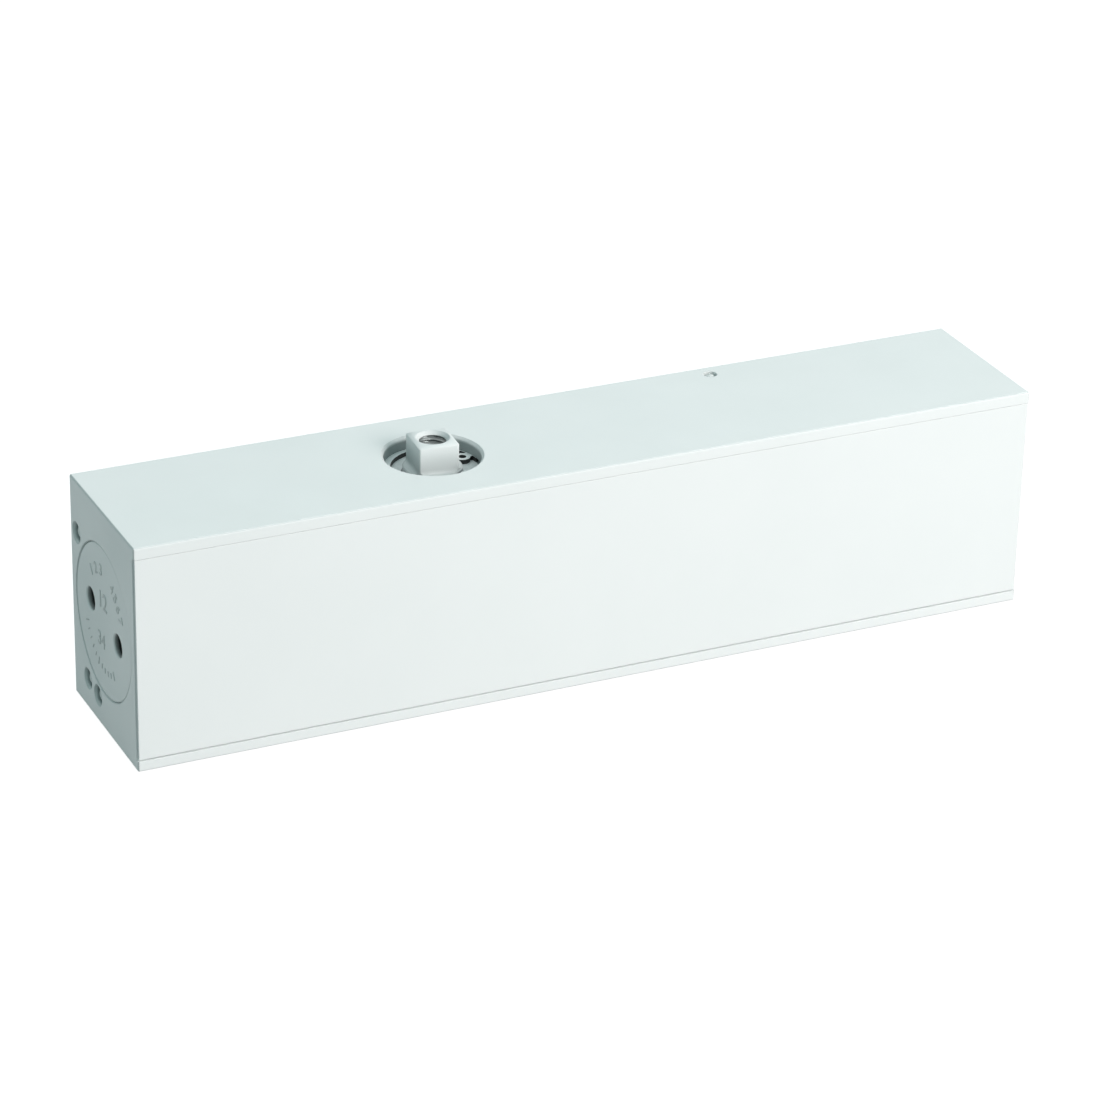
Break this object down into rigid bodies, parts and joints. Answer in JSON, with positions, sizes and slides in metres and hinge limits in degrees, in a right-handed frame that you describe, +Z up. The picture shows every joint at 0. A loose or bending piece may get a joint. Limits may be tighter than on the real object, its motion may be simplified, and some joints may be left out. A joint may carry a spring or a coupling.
{
  "type": "scissor arm door closer body",
  "caption": "Surface-mounted door closer body: a square arm spindle turns a pinion that drives a sprung, oil-damped rack piston inside a long white housing.",
  "frame": {"origin": "middle of the body's underside", "axes": "+X along the body to the force adjuster, +Y through the back to the door, +Z up along the arm spindle"},
  "size_m": [0.245, 0.046, 0.0646],
  "materials": {
    "body_paint": "cool white powder paint, satin, fine texture",
    "plug_paint": "cool white powder paint over cast steel",
    "painted_ball": "steel balls under a thin film of the body's paint",
    "spindle_steel": "milled steel painted over with the body where it stands out, bare and oiled inside",
    "ring_steel": "spring steel ring painted over with the body",
    "disc_steel": "steel disc painted over with the body",
    "turned_steel": "zinc plated turned steel",
    "piston_iron": "ground iron, oiled",
    "bearing_steel": "hardened and ground",
    "spring_steel": "oil tempered wire",
    "washer_brass": "plain",
    "valve_brass": "turned",
    "seal_rubber": "smooth oil-proof rubber",
    "nylon": "moulded, satin"
  },
  "bodies": {
    "closer_body": {"housing": "body_paint", "left_end_plug": "plug_paint", "left_plug_o_ring": "seal_rubber", "right_end_plug": "plug_paint", "right_plug_o_ring": "seal_rubber", "adjuster_thrust_washer": "washer_brass", "end_gallery_balls": "painted_ball", "roof_gallery_ball": "painted_ball", "upper_bearing_cup": "bearing_steel", "lower_bearing_cup": "bearing_steel", "thrust_washers": "washer_brass", "upper_shaft_seal": "seal_rubber", "upper_seal_disc": "disc_steel", "upper_retaining_ring": "ring_steel", "lower_cap": "disc_steel", "lower_cap_o_ring": "seal_rubber", "lower_retaining_ring": "ring_steel", "outer_spring": "spring_steel", "inner_spring": "spring_steel"},
    "cover": {"front_plate": "body_paint", "plate_studs": "nylon"},
    "arm_pinion": {"pinion": "spindle_steel"},
    "rack_piston": {"piston": "piston_iron", "check_valve_retainer": "turned_steel", "check_valve_spring": "spring_steel", "relief_valve_spring": "spring_steel", "relief_valve_screw": "turned_steel"},
    "check_ball": {"check_valve_ball": "bearing_steel"},
    "relief_ball": {"relief_valve_ball": "bearing_steel"},
    "upper_needles": {"upper_rollers": "bearing_steel"},
    "lower_needles": {"lower_rollers": "bearing_steel"},
    "force_adjuster": {"adjusting_spindle": "turned_steel", "adjusting_spindle_o_ring": "seal_rubber"},
    "force_seat": {"spring_seat": "turned_steel"},
    "closing_screw": {"closing_valve": "valve_brass", "closing_valve_o_ring": "seal_rubber"},
    "latching_screw": {"latching_valve": "valve_brass", "latching_valve_o_ring": "seal_rubber"},
    "back_check_screw": {"back_check_valve": "valve_brass", "back_check_valve_o_ring": "seal_rubber"}
  },
  "joints": [
    {"name": "pinion_turn", "type": "hinge", "parent": "closer_body", "child": "arm_pinion", "pos_m": [-0.0356, 0, 0.03], "axis": [0, 0, 1], "range_deg": [0, 180], "stiffness_Nm_per_rad": 2},
    {"name": "piston_slide", "type": "slide", "parent": "closer_body", "child": "rack_piston", "axis": [1, 0, 0], "range_m": [0, 0.0283], "deforming": ["outer_spring", "inner_spring"]},
    {"name": "upper_needles_turn", "type": "hinge", "parent": "closer_body", "child": "upper_needles", "pos_m": [-0.0356, 0, 0.047], "axis": [0, 0, 1], "range_deg": [0, 78]},
    {"name": "lower_needles_turn", "type": "hinge", "parent": "closer_body", "child": "lower_needles", "pos_m": [-0.0356, 0, 0.013], "axis": [0, 0, 1], "range_deg": [0, 78]},
    {"name": "adjuster_turn", "type": "hinge", "parent": "closer_body", "child": "force_adjuster", "pos_m": [0.1, 0, 0.03], "axis": [-1, 0, 0], "range_deg": [-721, 2161]},
    {"name": "seat_slide", "type": "slide", "parent": "closer_body", "child": "force_seat", "axis": [-1, 0, 0], "range_m": [-0.003, 0.009], "deforming": ["outer_spring", "inner_spring"]},
    {"name": "closing_valve_turn", "type": "hinge", "parent": "closer_body", "child": "closing_screw", "pos_m": [-0.112, -0.0205, 0.0077], "axis": [0, 1, 0], "range_deg": [-360, 360]},
    {"name": "latching_valve_turn", "type": "hinge", "parent": "closer_body", "child": "latching_screw", "pos_m": [-0.1, -0.0205, 0.0077], "axis": [0, 1, 0], "range_deg": [-360, 360]},
    {"name": "back_check_valve_turn", "type": "hinge", "parent": "closer_body", "child": "back_check_screw", "pos_m": [0.0509, -0.0205, 0.0525], "axis": [0, 1, 0], "range_deg": [-360, 360]},
    {"name": "plate_pull", "type": "slide", "parent": "closer_body", "child": "cover", "axis": [0, -1, 0], "range_m": [0, 0.04]},
    {"name": "check_ball_lift", "type": "slide", "parent": "rack_piston", "child": "check_ball", "axis": [-1, 0, 0], "range_m": [0, 0.0008], "stiffness_N_per_m": 60, "deforming": ["check_valve_spring"]},
    {"name": "relief_ball_lift", "type": "slide", "parent": "rack_piston", "child": "relief_ball", "axis": [1, 0, 0], "range_m": [0, 0.0008], "stiffness_N_per_m": 400, "deforming": ["relief_valve_spring"]}
  ],
  "couplings": [
    {"joint": "piston_slide", "follows": "pinion_turn", "m_per_rad": 0.009},
    {"joint": "upper_needles_turn", "follows": "pinion_turn", "ratio": 0.43243},
    {"joint": "lower_needles_turn", "follows": "pinion_turn", "ratio": 0.43243},
    {"joint": "adjuster_turn", "follows": "seat_slide", "rad_per_m": 4188.8}
  ]
}
